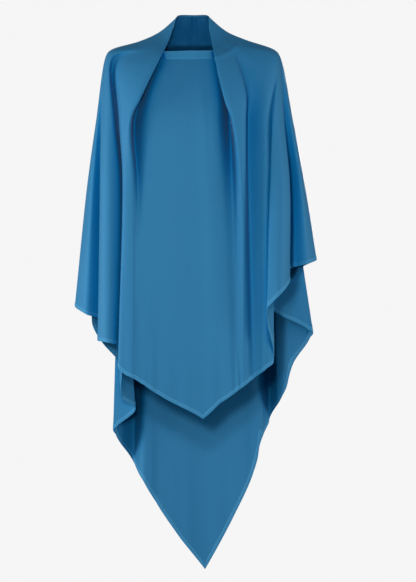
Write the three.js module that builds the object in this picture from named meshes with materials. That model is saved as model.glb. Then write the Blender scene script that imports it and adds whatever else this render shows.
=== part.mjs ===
// A long pointed veil of thin crepe, as it hangs on the shoulders: a standing hood with two turned
// edges, a chin band, a front and a back drape with deep side pleats, and a hem round the whole edge.
// Millimetres, +Z up, the front towards -Y. The origin is between the shoulders, under the neck.
import * as THREE from "three";

// Driving dimensions
const shoulderBreadth = 420;
const yokeBreadth = 470;
const breastBreadth = 520;
const hemBreadth = 580;
const chestDepth = 240;
const hemDepth = 280;
const neckBreadth = 150;
const neckDepth = 124;
const hoodRise = 86;
const collarBreadth = 268;
const collarDepth = 150;
const hoodSag = 9;
const shoulderDrop = 4;
const throatDrop = 110;
const yokeDrop = 173;
const breastDrop = 322;
const frontLength = 882;
const backLength = 1253;
const clothThickness = 1.6;
const hemThickness = 2.4;
const bandThickness = 2.4;
const hemWidth = 9;
const seamGap = 0.4;

// Each fold is one line of the cloth from the face edge down to the hem. neck is its place round the
// face edge, 0 at the chin and 1 at the nape. X is a share of half the breadth at that level and Y of
// half the depth, negative at the front. drop is a share of the front or the back length.
const FOLD_COLUMNS = [
  "name", "neck", "shoulderX", "shoulderY", "yokeX", "yokeY", "breastX", "breastY", "hemX", "hemY", "drop",
];
const FRONT_CENTRE = ["front centre", 0, -0.03, -0.93, 0.0, -1.02, 0.03, -1.06, 0.066, -0.94, 1];
const LEFT_FRONT = [
  ["left panel", 0.05, -0.3, -0.93, -0.29, -1.03, -0.27, -1.08, -0.29, -0.96, 0.936],
  ["left hollow rim", 0.1, -0.49, -0.86, -0.49, -0.97, -0.46, -1.06, -0.414, -0.98, 0.909],
  ["left hollow", 0.15, -0.575, -0.42, -0.615, -0.48, -0.525, -0.97, -0.472, -0.985, 0.897],
  ["left lapel inside", 0.22, -0.57, -0.83, -0.635, -0.93, -0.55, -1.05, -0.492, -0.992, 0.893],
  ["left lapel edge", 0.3, -0.56, -1.1, -0.655, -1.13, -0.572, -1.1, -0.513, -1.0, 0.89],
  ["left lapel side", 0.34, -0.743, -0.9, -0.715, -1.02, -0.64, -1.06, -0.571, -0.98, 0.881],
  ["left panel edge", 0.36, -0.83, -0.72, -0.75, -0.95, -0.66, -1.0, -0.629, -0.93, 0.863],
  ["left deep fold", 0.38, -0.943, -0.37, -0.79, -0.52, -0.655, -0.58, -0.59, -0.56, 0.825],
  ["left pleat inner side", 0.4, -0.965, -0.42, -0.83, -0.78, -0.7, -0.86, -0.645, -0.8, 0.8],
  ["left pleat crown", 0.42, -0.985, -0.36, -0.885, -0.76, -0.785, -0.93, -0.71, -0.87, 0.795],
  ["left pleat outer side", 0.44, -0.995, -0.29, -0.945, -0.6, -0.865, -0.77, -0.795, -0.7, 0.79],
  ["left small fold", 0.46, -1.0, -0.21, -0.955, -0.37, -0.868, -0.4, -0.76, -0.34, 0.732],
  ["left wing crown", 0.48, -1.005, -0.13, -0.985, -0.36, -0.938, -0.5, -0.886, -0.5, 0.7205],
  ["left side", 0.5, -1.0, 0, -1.005, -0.02, -0.988, -0.05, -0.985, -0.13, 0.694],
];
const LEFT_BACK = [
  ["left tail wing", 0.53, -1.0, 0.12, -0.985, 0.13, -0.95, 0.13, -0.865, 0.06, 0.507],
  ["left wing corner", 0.537, -0.995, 0.15, -0.975, 0.17, -0.93, 0.185, -0.852, 0.15, 0.527],
  ["left wing side", 0.545, -0.99, 0.18, -0.965, 0.21, -0.91, 0.24, -0.778, 0.2, 0.558],
  ["left inner fold", 0.56, -0.98, 0.25, -0.94, 0.3, -0.86, 0.35, -0.612, 0.25, 0.605],
  ["left strip side", 0.59, -0.93, 0.36, -0.89, 0.44, -0.81, 0.5, -0.61, 0.37, 0.67],
  ["left strip edge", 0.62, -0.87, 0.48, -0.83, 0.57, -0.72, 0.62, -0.495, 0.47, 0.688],
  ["left corner front", 0.652, -0.788, 0.58, -0.777, 0.68, -0.706, 0.745, -0.657, 0.636, 0.7255],
  ["left tail crown", 0.66, -0.77, 0.6, -0.765, 0.7, -0.7, 0.77, -0.679, 0.66, 0.73],
  ["left corner back", 0.666, -0.753, 0.613, -0.745, 0.718, -0.675, 0.8, -0.657, 0.708, 0.7385],
  ["left groove", 0.7, -0.65, 0.7, -0.62, 0.84, -0.53, 1.0, -0.52, 1.02, 0.791],
  ["left tail side", 0.76, -0.5, 0.77, -0.47, 0.87, -0.445, 0.88, -0.435, 0.79, 0.828],
  ["left tail plain", 0.84, -0.3, 0.82, -0.29, 0.9, -0.28, 0.93, -0.331, 0.81, 0.868],
  ["left tail lower", 0.92, -0.12, 0.84, -0.11, 0.92, -0.1, 0.94, -0.124, 0.84, 0.94],
];
const TAIL_POINT = ["tail point", 1, 0.02, 0.85, 0.03, 0.93, 0.045, 0.95, 0.083, 0.87, 1];
const RIGHT_FRONT = [
  ["right panel", 0.05, 0.12, -0.93, 0.12, -1.02, 0.13, -1.07, 0.207, -0.95, 0.958],
  ["right hollow rim", 0.1, 0.27, -0.86, 0.24, -0.97, 0.25, -1.03, 0.306, -0.97, 0.936],
  ["right hollow", 0.15, 0.365, -0.42, 0.355, -0.46, 0.34, -0.88, 0.356, -0.97, 0.923],
  ["right lapel inside", 0.22, 0.335, -0.83, 0.368, -0.93, 0.385, -1.02, 0.376, -0.97, 0.919],
  ["right lapel edge", 0.3, 0.31, -1.1, 0.383, -1.13, 0.425, -1.1, 0.397, -0.97, 0.914],
  ["right lapel side", 0.36, 0.56, -0.95, 0.5, -1.04, 0.455, -1.05, 0.438, -0.93, 0.903],
  ["right soft fold", 0.39, 0.6, -0.69, 0.535, -0.67, 0.492, -0.8, 0.478, -0.87, 0.893],
  ["right panel crown", 0.41, 0.8, -0.66, 0.71, -0.86, 0.65, -1.0, 0.588, -0.92, 0.865],
  ["right panel edge", 0.43, 0.925, -0.47, 0.785, -0.74, 0.71, -0.86, 0.646, -0.83, 0.849],
  ["right pleat edge", 0.44, 0.93, -0.41, 0.79, -0.82, 0.69, -0.97, 0.596, -1.14, 0.702],
  ["right pleat crown", 0.455, 0.94, -0.36, 0.847, -0.76, 0.785, -1.0, 0.687, -1.17, 0.669],
  ["right pleat side", 0.47, 0.945, -0.28, 0.895, -0.6, 0.86, -0.81, 0.77, -0.94, 0.637],
  ["right outer fold", 0.48, 0.948, -0.2, 0.92, -0.31, 0.882, -0.34, 0.79, -0.4, 0.593],
  ["right wing crown", 0.49, 0.95, -0.13, 0.972, -0.33, 0.968, -0.48, 0.919, -0.47, 0.5837],
  ["right side", 0.5, 0.955, 0, 1.0, -0.03, 1.006, -0.06, 1.0, -0.12, 0.569],
];
const RIGHT_BACK = [
  ["right wing corner", 0.515, 0.953, 0.07, 0.99, 0.05, 0.985, 0.04, 0.9, -0.02, 0.4137],
  ["right inner fold", 0.53, 0.95, 0.13, 0.975, 0.14, 0.95, 0.15, 0.63, 0.1, 0.494],
  ["right corner front", 0.557, 0.932, 0.244, 0.944, 0.307, 0.906, 0.344, 0.94, 0.276, 0.5362],
  ["right tail pleat", 0.56, 0.93, 0.26, 0.94, 0.33, 0.9, 0.37, 0.982, 0.3, 0.542],
  ["right corner back", 0.566, 0.923, 0.28, 0.933, 0.354, 0.896, 0.4, 0.959, 0.332, 0.5501],
  ["right tail fold", 0.6, 0.88, 0.4, 0.89, 0.5, 0.87, 0.58, 0.82, 0.53, 0.6],
  ["right tail crown", 0.64, 0.79, 0.53, 0.8, 0.62, 0.8, 0.7, 0.75, 0.6, 0.65],
  ["right groove", 0.69, 0.67, 0.65, 0.67, 0.8, 0.665, 1.0, 0.62, 1.02, 0.712],
  ["right tail side", 0.75, 0.53, 0.74, 0.55, 0.84, 0.57, 0.88, 0.55, 0.77, 0.749],
  ["right tail plain", 0.84, 0.31, 0.81, 0.32, 0.89, 0.36, 0.93, 0.4925, 0.8, 0.8083],
  ["right tail lower", 0.92, 0.15, 0.84, 0.16, 0.92, 0.19, 0.94, 0.3, 0.84, 0.908],
];

// The face edge and the neck seam, each from the chin round one side to the nape. x is a share of half
// the breadth, y of half the depth, and z of the hood's rise.
const RING_COLUMNS = ["neck", "x", "y", "z"];
const FACE_EDGE_LEFT = [
  [0, -0.2, -1.0, -0.05],
  [0.1, -0.97, -0.88, -0.06],
  [0.15, -1.04, -0.76, -0.03],
  [0.22, -0.8, -0.34, 0.42],
  [0.3, -0.6, 0.1, 0.9],
  [0.5, -0.5, 0.34, 0.98],
  [1, -0.03, 0.7, 1.0],
];
const FACE_EDGE_RIGHT = [
  [0, -0.2, -1.0, -0.05],
  [0.1, 0.5, -0.88, -0.04],
  [0.15, 0.66, -0.76, -0.01],
  [0.22, 0.5, -0.34, 0.42],
  [0.3, 0.44, 0.1, 0.9],
  [0.5, 0.38, 0.34, 0.98],
  [1, -0.03, 0.7, 1.0],
];
const NECK_SEAM_LEFT = [
  [0, -0.12, -0.97, -0.3],
  [0.1, -0.52, -0.9, -0.29],
  [0.15, -0.66, -0.68, -0.27],
  [0.22, -0.645, -0.95, -0.26],
  [0.3, -0.62, -1.2, -0.26],
  [0.36, -0.78, -0.92, -0.08],
  [0.43, -0.9, -0.5, 0.14],
  [0.5, -0.98, -0.03, 0.24],
  [0.6, -0.88, 0.5, 0.06],
  [0.75, -0.56, 0.88, -0.18],
  [1, -0.02, 1.0, -0.34],
];
const NECK_SEAM_RIGHT = [
  [0, -0.12, -0.97, -0.3],
  [0.1, 0.31, -0.9, -0.28],
  [0.15, 0.45, -0.68, -0.27],
  [0.22, 0.41, -0.95, -0.27],
  [0.3, 0.36, -1.2, -0.27],
  [0.36, 0.6, -0.92, -0.1],
  [0.43, 0.78, -0.5, 0.14],
  [0.5, 0.9, -0.03, 0.28],
  [0.6, 0.8, 0.5, 0.06],
  [0.75, 0.52, 0.88, -0.18],
  [1, -0.02, 1.0, -0.34],
];

// Each side's own rings, the share of half the breadth that its shoulder reaches, and where along the
// face edge the hood begins to stand, clear of the throat.
const LEFT = { faceEdge: FACE_EDGE_LEFT, neckSeam: NECK_SEAM_LEFT, reach: 1 };
const RIGHT = { faceEdge: FACE_EDGE_RIGHT, neckSeam: NECK_SEAM_RIGHT, reach: 0.955 };
const STANDING = { from: 0.15, to: 0.3 };

// The cloth turns over the shoulder between two points of each fold, one on top and one on the arm. Both
// are shares of the way from the shoulder to the next level, wide at the throat and tight at the side.
const TURN_TOP = { throat: 0.45, side: 0.12 };
const TURN_ARM = { throat: 0.35, side: 0.06 };

// How finely the sheet is cut up: steps across each fold, and down each stretch between two levels.
const STEPS_ACROSS = 2;
const STEPS_DOWN = { hood: 2, shoulder: 2, turn: 2, chest: 3, breast: 2, skirt: 5 };

// The heights at which every fold has a point, from the face edge down to the hem.
const LEVEL_NAMES = ["edge", "hood", "seam", "shoulder", "arm", "yoke", "breast", "hem"];
const LEVELS = Object.fromEntries(LEVEL_NAMES.map((name, i) => [name, i]));

const lerp = (a, b, share) => a + (b - a) * share;
const rows = (columns, table) =>
  table.map((row) => Object.fromEntries(columns.map((column, i) => [column, row[i]])));

// A point at a share between two rows of a ring, on a smooth curve through its rows.
function onRing(table, neck, breadth, depth) {
  const ring = rows(RING_COLUMNS, table);
  const points = ring.map((r) => new THREE.Vector3((r.x * breadth) / 2, (r.y * depth) / 2, r.z * hoodRise));
  const last = ring.length - 2;
  const i = Math.min(last, Math.max(0, ring.findIndex((r) => r.neck > neck) - 1));
  const at = neck >= 1 ? last : i;
  const share = (neck - ring[at].neck) / (ring[at + 1].neck - ring[at].neck);
  return spline(points, at, share, false);
}

// One step of a centripetal Catmull-Rom curve through the points, from point i to the next.
const LEAST_CHORD = 1e-3;
function spline(points, i, share, closed) {
  const n = points.length;
  const pick = (k) => (closed ? points[(k + n) % n] : points[k]);
  const p1 = pick(i);
  const p2 = pick(i + 1);
  const p0 = closed || i > 0 ? pick(i - 1) : p1.clone().multiplyScalar(2).sub(p2);
  const p3 = closed || i < n - 2 ? pick(i + 2) : p2.clone().multiplyScalar(2).sub(p1);
  const knot = (a, b) => Math.max(LEAST_CHORD, Math.sqrt(a.distanceTo(b)));
  const t1 = knot(p0, p1);
  const t2 = t1 + knot(p1, p2);
  const t3 = t2 + knot(p2, p3);
  const t = t1 + share * (t2 - t1);
  const mix = (a, b, ta, tb) => {
    const span = tb - ta;
    return a.clone().multiplyScalar((tb - t) / span).addScaledVector(b, (t - ta) / span);
  };
  const a1 = mix(p0, p1, 0, t1);
  const a2 = mix(p1, p2, t1, t2);
  const a3 = mix(p2, p3, t2, t3);
  return mix(mix(a1, a2, 0, t2), mix(a2, a3, t1, t3), t1, t2);
}

// The points of one fold, one for each level. The shoulder line falls slowly at first and then fast.
const SHOULDER_EASE = 3;
function foldLine(fold, side, length) {
  const at = (x, breadth, y, depth, drop) =>
    new THREE.Vector3((x * breadth) / 2, (y * depth) / 2, -drop);
  const edge = onRing(side.faceEdge, fold.neck, neckBreadth, neckDepth);
  const seam = onRing(side.neckSeam, fold.neck, collarBreadth, collarDepth);
  const middle = edge.clone().lerp(seam, 0.5);
  middle.z -= hoodSag * THREE.MathUtils.smoothstep(fold.neck, STANDING.from, STANDING.to);
  const towardsSide = Math.min(1, Math.abs(fold.shoulderX) / side.reach) ** SHOULDER_EASE;
  const shoulderZ = lerp(throatDrop, shoulderDrop, towardsSide);
  const shoulder = at(fold.shoulderX, shoulderBreadth, fold.shoulderY, chestDepth, shoulderZ);
  const yoke = at(fold.yokeX, yokeBreadth, fold.yokeY, chestDepth, yokeDrop);
  return [
    edge,
    middle,
    seam,
    shoulder.clone().lerp(seam, lerp(TURN_TOP.throat, TURN_TOP.side, towardsSide)),
    shoulder.clone().lerp(yoke, lerp(TURN_ARM.throat, TURN_ARM.side, towardsSide)),
    yoke,
    at(fold.breastX, breastBreadth, fold.breastY, chestDepth, breastDrop),
    at(fold.hemX, hemBreadth, fold.hemY, hemDepth, fold.drop * length),
  ];
}

const lines = [];
const place = {};
function addFolds(table, side, length) {
  for (const fold of rows(FOLD_COLUMNS, table)) {
    place[fold.name] = lines.length;
    lines.push(foldLine(fold, side, length));
  }
}
addFolds([FRONT_CENTRE, ...LEFT_FRONT], LEFT, frontLength);
addFolds([...LEFT_BACK, TAIL_POINT], LEFT, backLength);
addFolds([...RIGHT_BACK].reverse(), RIGHT, backLength);
addFolds([...RIGHT_FRONT].reverse(), RIGHT, frontLength);

// The middle of the cloth: across is counted in folds, and down in levels from the face edge to the hem.
// The cloth is smooth across, but its cut edge runs straight from fold to fold, as a cut edge does.
function cloth(across, down) {
  const level = Math.min(LEVELS.hem - 1, Math.floor(down));
  const section = lines.map((line) => spline(line, level, down - level, false));
  const fold = Math.floor(across) % lines.length;
  const share = across - Math.floor(across);
  const point = spline(section, fold, share, true);
  const straight = lerp(section[fold].z, section[(fold + 1) % lines.length].z, share);
  const towardsHem = Math.max(0, (down - LEVELS.breast) / (LEVELS.hem - LEVELS.breast));
  point.z = lerp(point.z, straight, towardsHem);
  return point;
}

const DELTA = 0.02;
function normal(across, down) {
  const low = Math.max(LEVELS.edge, down - DELTA);
  const high = Math.min(LEVELS.hem, down + DELTA);
  const alongHem = cloth(across + DELTA, down).sub(cloth(across - DELTA, down));
  const alongFold = cloth(across, high).sub(cloth(across, low));
  return alongHem.cross(alongFold).normalize();
}

// The share of a level that a width covers, where the width is measured square to the cut edge there.
const LEAST_SINE = 0.12;
function squareTo(across, level, width) {
  const inside = level + (level < LEVELS.hem ? DELTA : -DELTA);
  const alongEdge = cloth(across + DELTA, level).sub(cloth(across - DELTA, level)).normalize();
  const alongFold = cloth(across, inside).sub(cloth(across, level)).divideScalar(DELTA);
  const square = alongEdge.clone().cross(alongFold).length();
  return width / Math.max(square, LEAST_SINE * alongFold.length());
}

// A place across moved towards its neighbour by half the gap between two pieces.
function inset(across, neighbour, down) {
  const step = Math.sign(neighbour - across) * DELTA;
  return across + (step * seamGap) / 2 / cloth(across, down).distanceTo(cloth(across + step, down));
}

// A sheet over a patch of the cloth. columns are places across, and rowsAt gives the levels down at one
// of them. It is as thick as edgeThickness at its last row. Its side edges are drawn in by half a gap.
function sheet(columns, rowsAt, thickness, edgeThickness = thickness) {
  const nRows = rowsAt(columns[0]).length;
  const positions = [];
  for (const side of [0.5, -0.5]) {
    columns.forEach((column, i) => {
      rowsAt(column).forEach((down, j) => {
        const neighbour = { 0: columns[1], [columns.length - 1]: columns[columns.length - 2] }[i];
        const across = neighbour === undefined ? column : inset(column, neighbour, down);
        const wall = j === nRows - 1 ? edgeThickness : thickness;
        const point = cloth(across, down).addScaledVector(normal(across, down), side * wall);
        positions.push(point.x, point.y, point.z);
      });
    });
  }
  const layer = columns.length * nRows;
  const outer = (i, j) => i * nRows + j;
  const inner = (i, j) => layer + outer(i, j);
  const index = [];
  const quad = (a, b, c, d) => index.push(a, b, c, a, c, d);
  const lastColumn = columns.length - 1;
  const lastRow = nRows - 1;
  for (let i = 0; i < lastColumn; i++) {
    for (let j = 0; j < lastRow; j++) {
      quad(outer(i, j), outer(i + 1, j), outer(i + 1, j + 1), outer(i, j + 1));
      quad(inner(i, j), inner(i, j + 1), inner(i + 1, j + 1), inner(i + 1, j));
    }
    quad(outer(i, 0), inner(i, 0), inner(i + 1, 0), outer(i + 1, 0));
    quad(outer(i, lastRow), outer(i + 1, lastRow), inner(i + 1, lastRow), inner(i, lastRow));
  }
  for (let j = 0; j < lastRow; j++) {
    quad(outer(0, j), outer(0, j + 1), inner(0, j + 1), inner(0, j));
    quad(outer(lastColumn, j), inner(lastColumn, j), inner(lastColumn, j + 1), outer(lastColumn, j + 1));
  }
  const geometry = new THREE.BufferGeometry();
  geometry.setAttribute("position", new THREE.Float32BufferAttribute(positions, 3));
  geometry.setIndex(index);
  geometry.computeVertexNormals();
  return geometry;
}

// Places across from one fold to another.
function columnsBetween(from, to) {
  const start = place[from];
  const end = place[to] > start ? place[to] : place[to] + lines.length;
  const count = (end - start) * STEPS_ACROSS;
  return Array.from({ length: count + 1 }, (_, i) => start + i / STEPS_ACROSS);
}

const steps = (from, to, count) => Array.from({ length: count }, (_, i) => lerp(from, to, i / count));

// Where the hem ends against the cloth, and the share of a level that half a gap covers.
const hemStart = (across) => LEVELS.hem - squareTo(across, LEVELS.hem, hemWidth);
const halfGap = (across, level) => squareTo(across, level, seamGap / 2);

const hoodRows = (across) => [
  ...steps(LEVELS.edge, LEVELS.hood, STEPS_DOWN.hood),
  ...steps(LEVELS.hood, LEVELS.seam, STEPS_DOWN.hood),
  LEVELS.seam - halfGap(across, LEVELS.seam),
];
const veilRows = (across) => {
  const end = hemStart(across) - halfGap(across, LEVELS.hem);
  return [
    ...steps(LEVELS.seam + halfGap(across, LEVELS.seam), LEVELS.shoulder, STEPS_DOWN.shoulder),
    ...steps(LEVELS.shoulder, LEVELS.arm, STEPS_DOWN.turn),
    ...steps(LEVELS.arm, LEVELS.yoke, STEPS_DOWN.chest),
    ...steps(LEVELS.yoke, LEVELS.breast, STEPS_DOWN.breast),
    ...steps(LEVELS.breast, end, STEPS_DOWN.skirt),
    end,
  ];
};
const hemRows = (across) => [hemStart(across) + halfGap(across, LEVELS.hem), LEVELS.hem];

const crepe = () => new THREE.MeshStandardMaterial({ color: 0x2f7aa8, roughness: 0.6, metalness: 0 });

function piece(name, geometry) {
  const mesh = new THREE.Mesh(geometry, crepe());
  mesh.name = name;
  return mesh;
}

const veil = new THREE.Group();
const frontColumns = columnsBetween("right side", "left side");
const backColumns = columnsBetween("left side", "right side");
const hoodColumns = columnsBetween("left hollow rim", "right hollow rim");
const bandColumns = columnsBetween("right hollow rim", "left hollow rim");
veil.add(
  piece("chin_band", sheet(bandColumns, hoodRows, bandThickness)),
  piece("hood", sheet(hoodColumns, hoodRows, clothThickness)),
  piece("front_veil", sheet(frontColumns, veilRows, clothThickness)),
  piece("back_veil", sheet(backColumns, veilRows, clothThickness)),
  piece("front_hem", sheet(frontColumns, hemRows, clothThickness, hemThickness)),
  piece("back_hem", sheet(backColumns, hemRows, clothThickness, hemThickness)),
);

export default veil;
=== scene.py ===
"""The looks of a long pointed veil of thin blue crepe, as it hangs on the shoulders.

The veil is one cloth with a loop for the face. A few long folds carry its shape: each fold is a line
from the face edge over the shoulder and down to the hem, and the cloth runs smoothly across them. The
pieces are cut from that one cloth: the standing hood, the chin band, the front and the back drape,
and the rolled hem with its stitches.

Metres, +Z up, the front towards -Y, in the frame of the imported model. Cloth sizes are millimetres.
"""

import logging
import math
from dataclasses import dataclass
from enum import Enum
from typing import ClassVar

import bpy
import numpy as np
from bpy.types import Material, Mesh, Node, NodeOutputs, NodeSocket, Object
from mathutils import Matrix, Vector
from mathutils.bvhtree import BVHTree


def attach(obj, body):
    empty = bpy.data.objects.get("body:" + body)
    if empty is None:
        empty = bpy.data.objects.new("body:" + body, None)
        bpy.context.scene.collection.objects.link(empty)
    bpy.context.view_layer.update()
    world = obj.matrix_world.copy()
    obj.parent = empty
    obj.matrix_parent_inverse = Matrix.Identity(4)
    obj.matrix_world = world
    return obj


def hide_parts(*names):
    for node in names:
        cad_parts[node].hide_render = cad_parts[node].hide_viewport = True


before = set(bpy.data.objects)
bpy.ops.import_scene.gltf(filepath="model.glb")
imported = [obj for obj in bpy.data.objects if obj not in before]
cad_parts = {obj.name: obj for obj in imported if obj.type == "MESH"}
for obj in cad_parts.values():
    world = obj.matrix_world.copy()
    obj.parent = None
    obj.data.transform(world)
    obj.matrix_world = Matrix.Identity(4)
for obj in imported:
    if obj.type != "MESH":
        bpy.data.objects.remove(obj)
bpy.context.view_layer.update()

LOG = logging.getLogger("veil")
BODY = "root"
MM = 0.001
FULL_TURN = 2 * math.pi


class Level(Enum):
    """The heights at which every fold has a point, counted down from the face edge."""

    EDGE = 0
    HOOD = 1
    SEAM = 2
    SHOULDER = 3
    ARM = 4
    YOKE = 5
    BREAST = 6
    HEM = 7


class Finish(Enum):
    """The finishes of the cloth, each with the material slot that it stands for."""

    DRAPE = ("drape", "crepe")
    HOOD = ("hood", "crepe")
    BAND = ("band", "crepe_band")
    HEM = ("hem", "crepe_hem")

    @property
    def slot(self) -> str:
        """The slot's name."""
        return self.value[1]


class Face(Enum):
    """The two faces of the cloth, as signs along its outward normal."""

    OUTER = 1.0
    INNER = -1.0


@dataclass(frozen=True)
class Sizes:
    """The veil's driving sizes in millimetres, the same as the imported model's but for the thin cloth."""

    shoulder_breadth: float = 420
    yoke_breadth: float = 470
    breast_breadth: float = 520
    hem_breadth: float = 580
    chest_depth: float = 240
    hem_depth: float = 280
    neck_breadth: float = 150
    neck_depth: float = 124
    hood_rise: float = 86
    collar_breadth: float = 268
    collar_depth: float = 150
    hood_sag: float = 9
    shoulder_drop: float = 4
    throat_drop: float = 110
    yoke_drop: float = 173
    breast_drop: float = 322
    front_length: float = 882
    back_length: float = 1253
    cloth_thickness: float = 0.9
    hem_thickness: float = 2.2
    band_thickness: float = 2.2
    edge_thickness: float = 1.7
    hem_width: float = 9
    edge_width: float = 4
    standing: tuple[float, float] = (0.15, 0.3)
    turn_top: tuple[float, float] = (0.45, 0.12)
    turn_arm: tuple[float, float] = (0.35, 0.06)


@dataclass(frozen=True)
class Fold:
    """One line of the cloth. X and Y are shares of half the breadth and half the depth at a level.

    neck is its place round the face edge, 0 at the chin and 1 at the nape, and drop is a share of the
    front or the back length.
    """

    name: str
    neck: float
    shoulder_x: float
    shoulder_y: float
    yoke_x: float
    yoke_y: float
    breast_x: float
    breast_y: float
    hem_x: float
    hem_y: float
    drop: float


@dataclass(frozen=True)
class RingPoint:
    """A point of the face edge or the neck seam, in shares of its breadth, depth and the hood's rise."""

    neck: float
    x: float
    y: float
    z: float


# Each row holds the fields of a Fold, from the chin to the nape.
FRONT_CENTRE = ("front centre", 0, -0.03, -0.93, 0.0, -1.02, 0.03, -1.06, 0.066, -0.94, 1)
TAIL_POINT = ("tail point", 1, 0.02, 0.85, 0.03, 0.93, 0.045, 0.95, 0.083, 0.87, 1)
LEFT_FRONT = (
    ("left panel", 0.05, -0.3, -0.93, -0.29, -1.03, -0.27, -1.08, -0.29, -0.96, 0.936),
    ("left hollow rim", 0.1, -0.49, -0.86, -0.49, -0.97, -0.46, -1.06, -0.414, -0.98, 0.909),
    ("left hollow", 0.15, -0.575, -0.42, -0.615, -0.48, -0.525, -0.97, -0.472, -0.985, 0.897),
    ("left lapel inside", 0.22, -0.57, -0.83, -0.635, -0.93, -0.55, -1.05, -0.492, -0.992, 0.893),
    ("left lapel edge", 0.3, -0.56, -1.1, -0.655, -1.13, -0.572, -1.1, -0.513, -1.0, 0.89),
    ("left lapel side", 0.34, -0.743, -0.9, -0.715, -1.02, -0.64, -1.06, -0.571, -0.98, 0.881),
    ("left panel edge", 0.36, -0.83, -0.72, -0.75, -0.95, -0.66, -1.0, -0.629, -0.93, 0.863),
    ("left deep fold", 0.38, -0.943, -0.37, -0.79, -0.52, -0.655, -0.58, -0.59, -0.56, 0.825),
    ("left pleat inner side", 0.4, -0.965, -0.42, -0.83, -0.78, -0.7, -0.86, -0.645, -0.8, 0.8),
    ("left pleat crown", 0.42, -0.985, -0.36, -0.885, -0.76, -0.785, -0.93, -0.71, -0.87, 0.795),
    ("left pleat outer side", 0.44, -0.995, -0.29, -0.945, -0.6, -0.865, -0.77, -0.795, -0.7, 0.79),
    ("left small fold", 0.46, -1.0, -0.21, -0.955, -0.37, -0.868, -0.4, -0.76, -0.34, 0.732),
    ("left wing crown", 0.48, -1.005, -0.13, -0.985, -0.36, -0.938, -0.5, -0.886, -0.5, 0.7205),
    ("left side", 0.5, -1.0, 0, -1.005, -0.02, -0.988, -0.05, -0.985, -0.13, 0.694),
)
LEFT_BACK = (
    ("left tail wing", 0.53, -1.0, 0.12, -0.985, 0.13, -0.95, 0.13, -0.865, 0.06, 0.507),
    ("left wing corner", 0.537, -0.995, 0.15, -0.975, 0.17, -0.93, 0.185, -0.852, 0.15, 0.527),
    ("left wing side", 0.545, -0.99, 0.18, -0.965, 0.21, -0.91, 0.24, -0.778, 0.2, 0.558),
    ("left inner fold", 0.56, -0.98, 0.25, -0.94, 0.3, -0.86, 0.35, -0.612, 0.25, 0.605),
    ("left strip side", 0.59, -0.93, 0.36, -0.89, 0.44, -0.81, 0.5, -0.61, 0.37, 0.67),
    ("left strip edge", 0.62, -0.87, 0.48, -0.83, 0.57, -0.72, 0.62, -0.495, 0.47, 0.688),
    ("left corner front", 0.652, -0.788, 0.58, -0.777, 0.68, -0.706, 0.745, -0.657, 0.636, 0.7255),
    ("left tail crown", 0.66, -0.77, 0.6, -0.765, 0.7, -0.7, 0.77, -0.679, 0.66, 0.73),
    ("left corner back", 0.666, -0.753, 0.613, -0.745, 0.718, -0.675, 0.8, -0.657, 0.708, 0.7385),
    ("left groove", 0.7, -0.65, 0.7, -0.62, 0.84, -0.53, 1.0, -0.52, 1.02, 0.791),
    ("left tail side", 0.76, -0.5, 0.77, -0.47, 0.87, -0.445, 0.88, -0.435, 0.79, 0.828),
    ("left tail plain", 0.84, -0.3, 0.82, -0.29, 0.9, -0.28, 0.93, -0.331, 0.81, 0.868),
    ("left tail lower", 0.92, -0.12, 0.84, -0.11, 0.92, -0.1, 0.94, -0.124, 0.84, 0.94),
)
RIGHT_FRONT = (
    ("right panel", 0.05, 0.12, -0.93, 0.12, -1.02, 0.13, -1.07, 0.207, -0.95, 0.958),
    ("right hollow rim", 0.1, 0.27, -0.86, 0.24, -0.97, 0.25, -1.03, 0.306, -0.97, 0.936),
    ("right hollow", 0.15, 0.365, -0.42, 0.355, -0.46, 0.34, -0.88, 0.356, -0.97, 0.923),
    ("right lapel inside", 0.22, 0.335, -0.83, 0.368, -0.93, 0.385, -1.02, 0.376, -0.97, 0.919),
    ("right lapel edge", 0.3, 0.31, -1.1, 0.383, -1.13, 0.425, -1.1, 0.397, -0.97, 0.914),
    ("right lapel side", 0.36, 0.56, -0.95, 0.5, -1.04, 0.455, -1.05, 0.438, -0.93, 0.903),
    ("right soft fold", 0.39, 0.6, -0.69, 0.535, -0.67, 0.492, -0.8, 0.478, -0.87, 0.893),
    ("right panel crown", 0.41, 0.8, -0.66, 0.71, -0.86, 0.65, -1.0, 0.588, -0.92, 0.865),
    ("right panel edge", 0.43, 0.925, -0.47, 0.785, -0.74, 0.71, -0.86, 0.646, -0.83, 0.849),
    ("right pleat edge", 0.44, 0.93, -0.41, 0.79, -0.82, 0.69, -0.97, 0.596, -1.14, 0.702),
    ("right pleat crown", 0.455, 0.94, -0.36, 0.847, -0.76, 0.785, -1.0, 0.687, -1.17, 0.669),
    ("right pleat side", 0.47, 0.945, -0.28, 0.895, -0.6, 0.86, -0.81, 0.77, -0.94, 0.637),
    ("right outer fold", 0.48, 0.948, -0.2, 0.92, -0.31, 0.882, -0.34, 0.79, -0.4, 0.593),
    ("right wing crown", 0.49, 0.95, -0.13, 0.972, -0.33, 0.968, -0.48, 0.919, -0.47, 0.5837),
    ("right side", 0.5, 0.955, 0, 1.0, -0.03, 1.006, -0.06, 1.0, -0.12, 0.569),
)
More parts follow.
